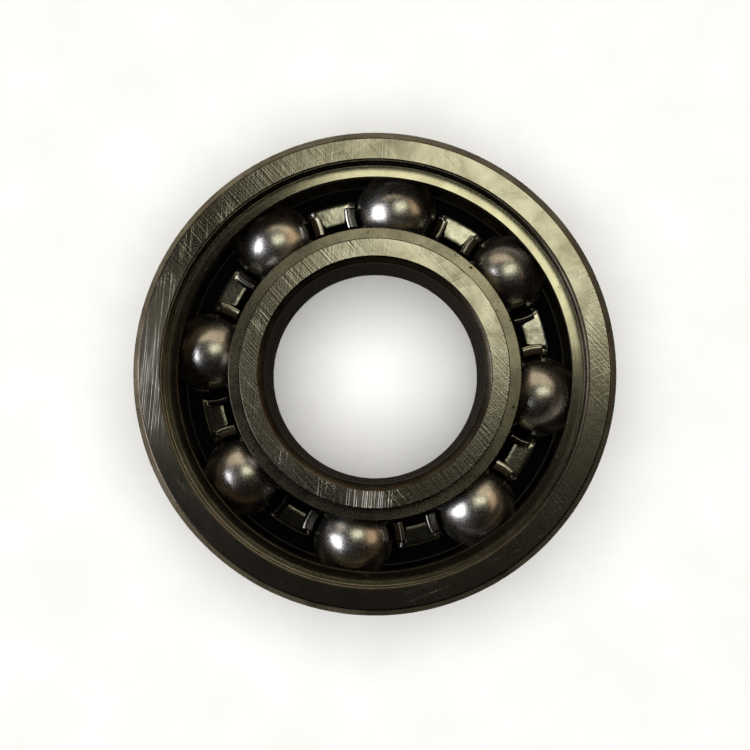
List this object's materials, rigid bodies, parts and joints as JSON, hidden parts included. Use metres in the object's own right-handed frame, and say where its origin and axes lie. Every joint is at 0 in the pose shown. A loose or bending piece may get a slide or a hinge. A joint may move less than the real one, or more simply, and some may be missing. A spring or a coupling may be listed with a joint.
{
  "type": "ball bearing",
  "caption": "Open deep-groove ball bearing with empty seal grooves, a turning inner ring, and steel balls spaced by a pressed-steel snap cage.",
  "frame": {"origin": "centre of the bearing, on its axis and halfway along its width", "axes": "+Z along the bearing's axis; the bearing lies flat in XY and both of its sides are alike apart from the cage, whose open side faces +Z"},
  "size_m": [0.035, 0.035, 0.011],
  "materials": {
    "ring_steel": "ground bearing steel, worn",
    "ball_steel": "polished bearing steel",
    "cage_steel": "bright pressed sheet steel"
  },
  "bodies": {
    "outer_ring": {"outer_ring": "ring_steel"},
    "inner_ring": {"inner_ring": "ring_steel"},
    "cage": {"cage": "cage_steel"},
    "ball_1": {"ball_1": "ball_steel"},
    "ball_2": {"ball_2": "ball_steel"},
    "ball_3": {"ball_3": "ball_steel"},
    "ball_4": {"ball_4": "ball_steel"},
    "ball_5": {"ball_5": "ball_steel"},
    "ball_6": {"ball_6": "ball_steel"},
    "ball_7": {"ball_7": "ball_steel"},
    "ball_8": {"ball_8": "ball_steel"}
  },
  "joints": [
    {"name": "inner_ring_spin", "type": "hinge", "parent": "outer_ring", "child": "inner_ring", "pos_m": [0, 0, 0], "axis": [0, 0, 1], "continuous": true},
    {"name": "cage_spin", "type": "hinge", "parent": "outer_ring", "child": "cage", "pos_m": [0, 0, 0], "axis": [0, 0, 1], "continuous": true},
    {"name": "ball_1_spin", "type": "hinge", "parent": "cage", "child": "ball_1", "pos_m": [0.01239, -0.00163, 0], "axis": [0, 0, 1], "continuous": true},
    {"name": "ball_2_spin", "type": "hinge", "parent": "cage", "child": "ball_2", "pos_m": [0.00992, 0.00761, 0], "axis": [0, 0, 1], "continuous": true},
    {"name": "ball_3_spin", "type": "hinge", "parent": "cage", "child": "ball_3", "pos_m": [0.00163, 0.01239, 0], "axis": [0, 0, 1], "continuous": true},
    {"name": "ball_4_spin", "type": "hinge", "parent": "cage", "child": "ball_4", "pos_m": [-0.00761, 0.00992, 0], "axis": [0, 0, 1], "continuous": true},
    {"name": "ball_5_spin", "type": "hinge", "parent": "cage", "child": "ball_5", "pos_m": [-0.01239, 0.00163, 0], "axis": [0, 0, 1], "continuous": true},
    {"name": "ball_6_spin", "type": "hinge", "parent": "cage", "child": "ball_6", "pos_m": [-0.00992, -0.00761, 0], "axis": [0, 0, 1], "continuous": true},
    {"name": "ball_7_spin", "type": "hinge", "parent": "cage", "child": "ball_7", "pos_m": [-0.00163, -0.01239, 0], "axis": [0, 0, 1], "continuous": true},
    {"name": "ball_8_spin", "type": "hinge", "parent": "cage", "child": "ball_8", "pos_m": [0.00761, -0.00992, 0], "axis": [0, 0, 1], "continuous": true}
  ],
  "couplings": [
    {"joint": "cage_spin", "follows": "inner_ring_spin", "ratio": 0.38094},
    {"joint": "ball_1_spin", "follows": "inner_ring_spin", "ratio": -1.9807},
    {"joint": "ball_2_spin", "follows": "inner_ring_spin", "ratio": -1.9807},
    {"joint": "ball_3_spin", "follows": "inner_ring_spin", "ratio": -1.9807},
    {"joint": "ball_4_spin", "follows": "inner_ring_spin", "ratio": -1.9807},
    {"joint": "ball_5_spin", "follows": "inner_ring_spin", "ratio": -1.9807},
    {"joint": "ball_6_spin", "follows": "inner_ring_spin", "ratio": -1.9807},
    {"joint": "ball_7_spin", "follows": "inner_ring_spin", "ratio": -1.9807},
    {"joint": "ball_8_spin", "follows": "inner_ring_spin", "ratio": -1.9807}
  ]
}
